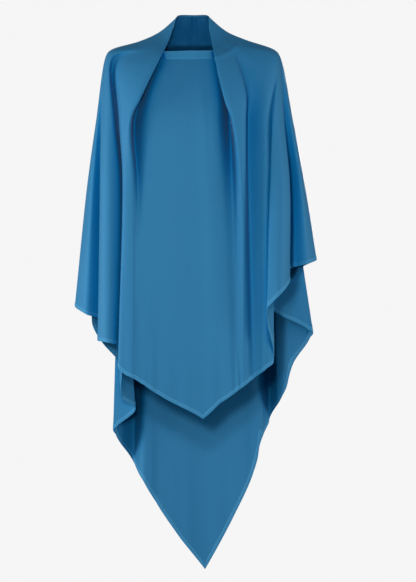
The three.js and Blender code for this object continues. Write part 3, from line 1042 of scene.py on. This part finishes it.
@dataclass
class StitchRow:
    """A row of small straight stitches that lies along a seam, on both faces of the cloth.

    HALF gives the rings of half a stitch: how far along it they lie as a share of its length, and their
    size and their height as shares of its radius.
    """

    HALF: ClassVar[tuple[tuple[float, float, float], ...]] = (
        (0.15, 1.0, 0.1),
        (0.4, 0.85, -0.2),
        (0.5, 0.25, -0.8),
    )

    cloth: Cloth
    name: str
    finish: Finish
    start: str
    end: str
    level: Level
    inset: float
    off_middle: float
    pitch: float = 3.4
    length: float = 2.5
    radius: float = 0.32
    sides: int = 6
    samples: int = 24
    step_down: float = 0.01

    def build(self, thread: Material) -> Object:
        """Makes all stitches of the row as one object.

        Args:
            thread: The thread's material.

        Returns:
            The object.
        """
        middles, normals, along = self._places()
        verts, faces = self._stitch()
        whole_verts = []
        whole_faces = []
        for face in Face:
            starts = (np.arange(len(middles)) + len(middles) * len(whole_verts)) * len(verts)
            whole_faces.append((faces[None] + starts[:, None, None]).reshape(-1, 4))
            placed = (middles + normals * self.off_middle * face.value)[:, None]
            for k, axis in enumerate((along, np.cross(along, normals), normals)):
                placed = placed + axis[:, None] * verts[None, :, k : k + 1]
            whole_verts.append(placed.reshape(-1, 3))
        obj = linked_object(self.name, np.concatenate(whole_verts), np.concatenate(whole_faces))
        obj.data.materials.append(thread)
        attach(obj, BODY)
        LOG.info("%s: %d stitches", self.name, len(middles) * len(Face))
        return obj

    def _places(self) -> tuple[np.ndarray, np.ndarray, np.ndarray]:
        """Spaces the stitches of one face evenly along the row.

        Returns:
            The middle, the normal and the direction of every stitch.
        """
        across = with_ghosts(self.cloth.columns(self.start, self.end, self.samples), 0)
        line = self.cloth.line(across, self.level, self.inset)
        patch = self.cloth.patch(across, line[:, None] + np.arange(-GHOSTS, GHOSTS + 1) * self.step_down)
        points, normals = patch.points[:, 0], patch.normals[:, 0]
        lengths = np.concatenate([[0], np.cumsum(np.linalg.norm(np.diff(points, axis=0), axis=1))])
        wanted = np.arange(self.pitch / 2, lengths[-1], self.pitch)

        def at(values: np.ndarray, where: np.ndarray) -> np.ndarray:
            """The values at some lengths along the row."""
            return np.stack([np.interp(where, lengths, column) for column in values.T], axis=1)

        along = unit(at(points, wanted + self.length / 2) - at(points, wanted - self.length / 2))
        normal = at(normals, wanted)
        normal -= along * np.sum(normal * along, axis=1, keepdims=True)
        return at(points, wanted), unit(normal), along

    def _stitch(self) -> tuple[np.ndarray, np.ndarray]:
        """Shapes one stitch along X.

        Returns:
            Its points and its faces.
        """
        rings = [(-along, size, rise) for along, size, rise in reversed(self.HALF)] + list(self.HALF)
        verts = []
        for along, size, rise in rings:
            out = self.radius * size
            for k in range(self.sides):
                turn = FULL_TURN * k / self.sides
                height = out * math.sin(turn) + rise * self.radius
                verts.append((along * self.length, out * math.cos(turn), height))
        ring = np.arange(self.sides)
        ahead = (ring + 1) % self.sides
        loop = np.stack([ring, ahead, ahead + self.sides, ring + self.sides], axis=1)
        return np.array(verts), np.concatenate([loop + i * self.sides for i in range(len(rings) - 1)])


@dataclass
class NodeTree:
    """A small helper that adds and joins the nodes of one tree."""

    tree: bpy.types.NodeTree

    def feed(self, node: Node, inputs: dict[str | int, object]) -> None:
        """Joins a socket to each input of a node, or sets its value.

        Args:
            node: The node.
            inputs: The sockets and values by the name or the number of the input.
        """
        for key, value in inputs.items():
            if isinstance(value, NodeSocket):
                self.tree.links.new(value, node.inputs[key])
            else:
                node.inputs[key].default_value = value

    def add(
        self, kind: str, label: str, inputs: dict[str | int, object] | None = None, **settings: object
    ) -> Node:
        """Adds a node.

        Args:
            kind: The node's type, without the word ShaderNode.
            label: What it is for.
            inputs: What goes into its inputs.
            settings: The node's own settings.

        Returns:
            The node.
        """
        node = self.tree.nodes.new(f"ShaderNode{kind}")
        node.label = label
        for key, value in settings.items():
            setattr(node, key, value)
        self.feed(node, inputs or {})
        return node

    def math(self, operation: str, label: str, first: object, second: object) -> NodeSocket:
        """Adds a sum of two values, each a socket or a number."""
        return self.add("Math", label, {0: first, 1: second}, operation=operation).outputs[0]

    def noise(self, label: str, place: object, scale: object, **more: float) -> NodeSocket:
        """Adds a noise of a scale at a place."""
        return self.add("TexNoise", label, {"Vector": place, "Scale": scale, **more}).outputs["Fac"]

    def spread(
        self, label: str, value: object, to: tuple[float, float], start: float = 0.0, end: float = 1.0
    ) -> NodeSocket:
        """Adds a node that turns the values from start to end into a range."""
        inputs = {"Value": value, "From Min": start, "From Max": end, "To Min": to[0], "To Max": to[1]}
        return self.add("MapRange", label, inputs).outputs["Result"]

    def mix(self, label: str, share: object, first: tuple, second: tuple) -> NodeSocket:
        """Adds a blend of two colours."""
        inputs = {"Factor": share, "A": (*first, 1), "B": (*second, 1)}
        return self.add("Mix", label, inputs, data_type="RGBA").outputs["Result"]

    def bump(self, label: str, height: object, strength: float, distance: float) -> NodeSocket:
        """Adds a relief of a height."""
        inputs = {"Height": height, "Strength": strength, "Distance": distance}
        return self.add("Bump", label, inputs).outputs["Normal"]


class SharedGroup:
    """A node group that several finishes share."""

    NAME: ClassVar[str]
    INPUTS: ClassVar[dict[str, str]]
    OUTPUTS: ClassVar[tuple[str, ...]]

    @classmethod
    def fill(cls, nodes: NodeTree, given: NodeOutputs) -> dict[str | int, object]:
        """Adds the nodes between the given inputs and the sockets that it returns by output."""
        raise NotImplementedError

    @classmethod
    def group(cls) -> bpy.types.NodeTree:
        """Builds the group at its first use.

        Returns:
            The group.
        """
        if cls.NAME in bpy.data.node_groups:
            return bpy.data.node_groups[cls.NAME]
        tree = bpy.data.node_groups.new(cls.NAME, "ShaderNodeTree")
        for name, kind in cls.INPUTS.items():
            tree.interface.new_socket(name, in_out="INPUT", socket_type=kind)
        for name in cls.OUTPUTS:
            tree.interface.new_socket(name, in_out="OUTPUT", socket_type="NodeSocketFloat")
        nodes = NodeTree(tree)
        given = tree.nodes.new("NodeGroupInput")
        nodes.feed(tree.nodes.new("NodeGroupOutput"), cls.fill(nodes, given.outputs))
        return tree


class Grain(SharedGroup):
    """The grain of the crepe: crossing pebbly threads, soft crinkles and clouds of colour."""

    NAME = "crepe_grain"
    INPUTS = {
        "Place": "NodeSocketVector",
        "Threads": "NodeSocketFloat",
        "Crinkles": "NodeSocketFloat",
        "Clouds": "NodeSocketFloat",
    }
    OUTPUTS = ("Height", "Thread", "Cloud")
    STRETCHES = {"threads down": (1.0, 0.28, 1.0), "threads across": (0.28, 1.0, 1.0)}
    SWELL = 2.2

    @classmethod
    def fill(cls, nodes: NodeTree, given: NodeOutputs) -> dict[str | int, object]:
        """Adds the grain's nodes.

        Args:
            nodes: The group's nodes.
            given: The group's inputs.

        Returns:
            The sockets of its outputs.
        """
        place = given["Place"]
        threads = []
        for label, stretch in cls.STRETCHES.items():
            laid = nodes.add("Mapping", label, {"Vector": place, "Scale": stretch}).outputs["Vector"]
            threads.append(nodes.noise(label, laid, given["Threads"], Detail=3.0, Roughness=0.6))
        crossed = nodes.math("MAXIMUM", "crossed threads", *threads)
        crinkles = nodes.noise("soft crinkles", place, given["Crinkles"], Detail=1.0, Distortion=0.6)
        swell = nodes.math("MULTIPLY", "height of the crinkles", crinkles, cls.SWELL)
        return {
            "Height": nodes.math("ADD", "whole relief", crossed, swell),
            "Thread": crossed,
            "Cloud": nodes.noise("clouds of colour", place, given["Clouds"], Detail=2.0),
        }


class PaintedFoldShade(SharedGroup):
    """Turns how open the cloth lies into painted shade, as a tone and a brightness.

    The tone runs from the painted shade colour at 0 to the full colour at 1. The brightness is painted shade
    as well: it falls off only on the inside face of the cloth, where it lies folded in.
    """

    NAME = "painted_fold_shade"
    INPUTS = dict.fromkeys(("Openness", "Inside", "Depth", "Reverse", "Least"), "NodeSocketFloat")
    OUTPUTS = ("Tone", "Brightness")

    @classmethod
    def fill(cls, nodes: NodeTree, given: NodeOutputs) -> dict[str | int, object]:
        """Adds the nodes of the folds' tone.

        Args:
            nodes: The group's nodes.
            given: The group's inputs.

        Returns:
            The sockets of its outputs.
        """
        # Painted shade: darker where the cloth lies closed, and on the inside face dimmer there too, never
        # below Least.
        tone = nodes.math("POWER", "depth of the fold", given["Openness"], given["Depth"])
        closed = nodes.math("SUBTRACT", "how closed it lies", 1.0, given["Openness"])
        inside_shade = nodes.math("MULTIPLY", "reverse of the cloth", given["Inside"], given["Reverse"])
        lost = nodes.math("MULTIPLY", "what the reverse loses", closed, inside_shade)
        kept = nodes.math("SUBTRACT", "what the reverse keeps", 1.0, lost)
        brightness = nodes.math("MAXIMUM", "never black", kept, given["Least"])
        return {"Tone": nodes.math("MULTIPLY", "tone", tone, brightness), "Brightness": brightness}


def new_material(name: str) -> tuple[Material, NodeTree, Node]:
    """Makes a material.

    Args:
        name: Its name.

    Returns:
        The material, its nodes and its shader.
    """
    material = bpy.data.materials.new(name)
    material.use_nodes = True
    return material, NodeTree(material.node_tree), material.node_tree.nodes["Principled BSDF"]


@dataclass(frozen=True)
class CrepeFinish:
    """Blue crepe: its full colour, the darker colour of the shade painted into its folds, its grain and its
    soft gloss.

    threads, crinkles and clouds are scales of noise. The ranges say how far the dye, the threads and the
    gloss vary, relief is the grain's height in metres, and the last three fields set the shade painted into
    the folds and onto the inside face.
    """

    name: str
    color: tuple[float, float, float]
    painted_shade_color: tuple[float, float, float]
    roughness: float = 0.55
    specular: float = 0.25
    tint: tuple[float, float, float] = (0.12, 0.5, 0.85)
    sheen: float = 0.06
    sheen_tint: tuple[float, float, float] = (0.75, 0.88, 1.0)
    sheen_roughness: float = 0.4
    threads: float = 900.0
    crinkles: float = 210.0
    clouds: float = 7.0
    dye_range: tuple[float, float] = (0.95, 1.05)
    thread_range: tuple[float, float] = (0.86, 1.1)
    thread_noise: tuple[float, float] = (0.3, 0.8)
    gloss_range: float = 0.05
    grain: float = 0.4
    relief: float = 0.0003
    # Painted shade in the folds: how fast it darkens, how much the inside face dims, and the least brightness
    # kept.
    depth: float = 2.3
    inside_shade: float = 1.0
    least: float = 0.5

    def build(self) -> Material:
        """Makes the material.

        Returns:
            The material.
        """
        material, nodes, shader = new_material(self.name)
        folds = {
            "Openness": nodes.add("Attribute", "how open it lies", attribute_name="openness").outputs["Fac"],
            "Inside": nodes.add("Attribute", "which face it is", attribute_name="inside").outputs["Fac"],
            "Depth": self.depth,
            "Reverse": self.inside_shade,
            "Least": self.least,
        }
        weave = {
            "Place": nodes.add("UVMap", "the cloth laid flat", uv_map="cloth").outputs["UV"],
            "Threads": self.threads,
            "Crinkles": self.crinkles,
            "Clouds": self.clouds,
        }
        tone = nodes.add("Group", "tone of the folds", folds, node_tree=PaintedFoldShade.group()).outputs
        grain = nodes.add("Group", "grain of the crepe", weave, node_tree=Grain.group()).outputs
        # Painted shade: the colour runs to the painted shade colour and dims where the cloth lies closed; the
        # clouds and the threads are the dye's own unevenness.
        painted_shade_mix = nodes.mix("from deep to full colour", tone["Tone"], self.painted_shade_color, self.color)
        dye = nodes.spread("how uneven the dye is", grain["Cloud"], self.dye_range)
        yarn = nodes.spread("light and dark threads", grain["Thread"], self.thread_range, *self.thread_noise)
        mottled = nodes.math("MULTIPLY", "cloud and threads", dye, yarn)
        brightness = nodes.math("MULTIPLY", "with the fold", mottled, tone["Brightness"])
        dye_and_painted_shade = nodes.add("HueSaturation", "uneven dye", {"Value": brightness, "Color": painted_shade_mix})
        glosses = (self.roughness - self.gloss_range, self.roughness + self.gloss_range)
        nodes.feed(shader, {
            "Base Color": dye_and_painted_shade.outputs["Color"],
            "Roughness": nodes.spread("uneven gloss", grain["Cloud"], glosses),
            "Normal": nodes.bump("relief of the grain", grain["Height"], self.grain, self.relief),
            "Specular IOR Level": self.specular,
            "Specular Tint": (*self.tint, 1),
            "Sheen Weight": self.sheen,
            "Sheen Tint": (*self.sheen_tint, 1),
            "Sheen Roughness": self.sheen_roughness,
        })
        return material


@dataclass(frozen=True)
class ThreadFinish:
    """Twisted polyester thread, a shade lighter than the cloth.

    shade is how dark the thread is painted between its turns, where the twist's relief is low, as painted
    shade; twist is the scale of the turns, and grain and relief the strength and the height of their relief.
    """

    name: str
    color: tuple[float, float, float]
    shade: float = 0.8
    roughness: float = 0.4
    twist: float = 2600.0
    grain: float = 0.3
    relief: float = 0.0001

    def build(self) -> Material:
        """Makes the material.

        Returns:
            The material.
        """
        material, nodes, shader = new_material(self.name)
        place = nodes.add("TexCoord", "place on the veil").outputs["Object"]
        turns = nodes.add("TexNoise", "twist of the thread", {"Vector": place, "Scale": self.twist})
        turns = turns.outputs["Fac"]
        # Painted shade: the thread is darker where the twist's relief is low, between its turns.
        shaded = tuple(self.shade * c for c in self.color)
        nodes.feed(shader, {
            "Base Color": nodes.mix("uneven dye", turns, shaded, self.color),
            "Normal": nodes.bump("relief of the twist", turns, self.grain, self.relief),
            "Roughness": self.roughness,
        })
        return material


@dataclass(frozen=True)
class Cut:
    """The size that a piece of cloth was cut to: its width, its length and its flat area, in metres."""

    width: float
    length: float
    area: float


@dataclass
class Veil:
    """The whole veil: its cloth pieces, hems and stitches.

    The insets say how far from the cut edge each row of stitches lies, as shares of the hem's and the
    edge's width and in millimetres for the band. The heights say how far the thread lies off the middle
    surface, as shares of the hem's and the band's thickness and in millimetres for the edge.
    """

    sizes: Sizes
    thread_color: tuple[float, float, float] = (0.17, 0.42, 0.62)
    hem_inset: float = 0.83
    edge_inset: float = 0.72
    band_inset: float = 2.6
    hem_height: float = 0.36
    edge_height: float = 0.8
    band_height: float = 0.44

    def build(self) -> None:
        s = self.sizes
        cloth = Cloth(s)
        whole = ("left hollow rim", "right hollow rim")
        front = ("right side", "left side")
        back = ("left side", "right side")
        band = ("right hollow rim", "left hollow rim")
        pieces = [
            Band(cloth, "chin_band_cloth", ("chin_band",), Finish.BAND, *band, s.band_thickness),
            Hood(cloth, "hood_cloth", ("hood",), Finish.HOOD, *whole, s.cloth_thickness),
            Drape(cloth, "front_veil_cloth", ("front_veil",), Finish.DRAPE, *front, s.cloth_thickness),
            Drape(cloth, "back_veil_cloth", ("back_veil",), Finish.DRAPE, *back, s.cloth_thickness),
            Hem(cloth, "front_hem_roll", ("front_hem",), Finish.HEM, *front, s.hem_thickness),
            Hem(cloth, "back_hem_roll", ("back_hem",), Finish.HEM, *back, s.hem_thickness),
            FaceEdge(cloth, "hood_edge_roll", (), Finish.HEM, *whole, s.edge_thickness),
        ]
        hem_line = (Level.HEM, self.hem_inset * s.hem_width, self.hem_height * s.hem_thickness)
        edge_line = (Level.EDGE, self.edge_inset * s.edge_width, self.edge_height)
        band_line = (Level.EDGE, self.band_inset, self.band_height * s.band_thickness)
        rows = [
            StitchRow(cloth, "front_hem_stitches", Finish.HEM, *front, *hem_line),
            StitchRow(cloth, "back_hem_stitches", Finish.HEM, *back, *hem_line),
            StitchRow(cloth, "hood_edge_stitches", Finish.HEM, *whole, *edge_line),
            StitchRow(cloth, "chin_band_stitches", Finish.BAND, *band, *band_line),
        ]
        finishes = self._finishes()
        patches = {piece.name: piece.cut() for piece in pieces}
        measure = FoldDepth()
        tree = measure.tree([patches[piece.name] for piece in pieces if piece.replaces])
        built: dict[str, Object] = {}
        for piece in pieces:
            patch = patches[piece.name]
            depths = {face: measure.measure(tree, patch, face) for face in Face}
            built[piece.name] = piece.build(patch, finishes[piece.finish], depths)
        thread = ThreadFinish("veil_thread", self.thread_color).build()
        for row in rows:
            built[row.name] = row.build(thread)
        self._declare(built)

    def _finishes(self) -> dict[Finish, Material]:
        """Makes the crepe of the drapes, of the hood, of the band and of the hems, each with shade painted
        into its folds; the hood's inside gets a darker painted shade, and the band and the hems lighter
        colours as painted highlights.

        Returns:
            The materials by finish.
        """
        # The colour that the painted shade in folds and recesses runs to.
        painted_shade_color = (0.0005, 0.158, 0.38)
        # A darker painted shade colour, for the inside of the hood.
        hood_painted_shade_color = (0.0005, 0.132, 0.38)
        full = (0.039, 0.193, 0.366)
        # Painted highlight: the band is the same crepe, given a lighter colour so that it looks lit.
        doubled = (0.055, 0.265, 0.475)
        # Painted highlight: the hems and the face edge are the same crepe, lighter for the light caught on
        # their round edges.
        rolled = (0.055, 0.24, 0.43)
        return {
            Finish.DRAPE: CrepeFinish("veil_crepe_painted_shade", full, painted_shade_color).build(),
            # The hood's inside gets a stronger painted shade: it darkens faster, more on the inside face and
            # down to a lower floor.
            Finish.HOOD: CrepeFinish("hood_crepe_painted_shade", full, hood_painted_shade_color, depth=3.0, inside_shade=1.7, least=0.25).build(),
            Finish.BAND: CrepeFinish("band_crepe_painted_light", doubled, painted_shade_color, depth=1.0).build(),
            Finish.HEM: CrepeFinish("hem_crepe_painted_light", rolled, painted_shade_color, grain=0.5).build(),
        }

    @staticmethod
    def _declare(built: dict[str, Object]) -> None:
        """Does nothing: no sheet of cloth is declared here.

        Args:
            built: The objects by name. Not used.
        """


@dataclass(frozen=True)
class Lamp:
    """A soft square light: where it stands and the length of its side in metres, its power in watts."""

    name: str
    place: tuple[float, float, float]
    size: float
    power: float


LAMPS = (
    Lamp("low", (-0.25, -3.0, -0.45), 0.24, 32),
    Lamp("high", (-0.15, -3.0, 0.12), 0.3, 19),
    Lamp("left", (-2.8, -0.4, -0.5), 1.0, 54),
    Lamp("right", (2.8, -0.2, -0.4), 1.0, 28),
    Lamp("back", (0.5, 3.0, -0.2), 0.7, 42),
)


@dataclass
class Studio:
    """The pale surround, the soft lights and the camera."""

    camera_distance: float = 12.0
    camera_reach: float = 100.0
    sensor_height: float = 24.0
    photo_size: tuple[int, int] = (416, 582)
    metres_per_pixel: float = 0.0024
    origin_pixel: tuple[float, float] = (195.0, 50.0)
    paper: float = 0.92
    ambient: tuple[float, float, float] = (0.07, 0.2, 0.25)

    def build(self) -> None:
        """Makes the whole setting."""
        self._surround()
        for lamp in LAMPS:
            self._light(lamp)
        self._camera()

    def _centre(self) -> tuple[float, float]:
        """The point of the object's plane at the middle of the view.

        Returns:
            Its X and Z.
        """
        width, height = self.photo_size
        x = (width / 2 - self.origin_pixel[0]) * self.metres_per_pixel
        z = (self.origin_pixel[1] - height / 2) * self.metres_per_pixel
        return x, z

    def _surround(self) -> None:
        """A surround that looks pale to the camera and gives off a dim light."""
        world = bpy.data.worlds.new("studio")
        bpy.context.scene.world = world
        bpy.context.scene.view_settings.view_transform = "Standard"
        world.use_nodes = True
        nodes = NodeTree(world.node_tree)
        seen = nodes.add("LightPath", "what is looking").outputs["Is Camera Ray"]
        tone = nodes.mix("seen or shining", seen, self.ambient, (self.paper,) * 3)
        nodes.feed(world.node_tree.nodes["Background"], {"Strength": 1.0, "Color": tone})

    def _light(self, lamp: Lamp) -> None:
        """Hangs a light that faces the veil.

        Args:
            lamp: The light.
        """
        light = bpy.data.lights.new(lamp.name, "AREA")
        light.size = lamp.size
        light.energy = lamp.power
        obj = bpy.data.objects.new(lamp.name, light)
        obj.location = lamp.place
        x, z = self._centre()
        towards = np.array([x, 0, z]) - np.array(lamp.place)
        pitch = math.atan2(towards[2], math.hypot(towards[0], towards[1]))
        yaw = math.atan2(towards[1], towards[0])
        obj.rotation_euler = (math.pi / 2 + pitch, 0, yaw - math.pi / 2)
        bpy.context.scene.collection.objects.link(obj)

    def _camera(self) -> None:
        """A long lens straight in front, at the middle of the veil's height."""
        width, height = self.photo_size
        camera = bpy.data.cameras.new("camera")
        camera.sensor_fit = "VERTICAL"
        camera.sensor_height = self.sensor_height
        camera.lens = camera.sensor_height * self.camera_distance / (height * self.metres_per_pixel)
        camera.clip_end = self.camera_reach
        obj = bpy.data.objects.new("camera", camera)
        x, z = self._centre()
        obj.location = (x, -self.camera_distance, z)
        obj.rotation_euler = (math.pi / 2, 0, 0)
        bpy.context.scene.collection.objects.link(obj)
        bpy.context.scene.camera = obj


def main() -> None:
    """Builds the veil, then its setting."""
    logging.basicConfig(level=logging.INFO, format="%(name)s: %(message)s")
    Veil(Sizes()).build()
    Studio().build()


if __name__ == "__main__":
    main()
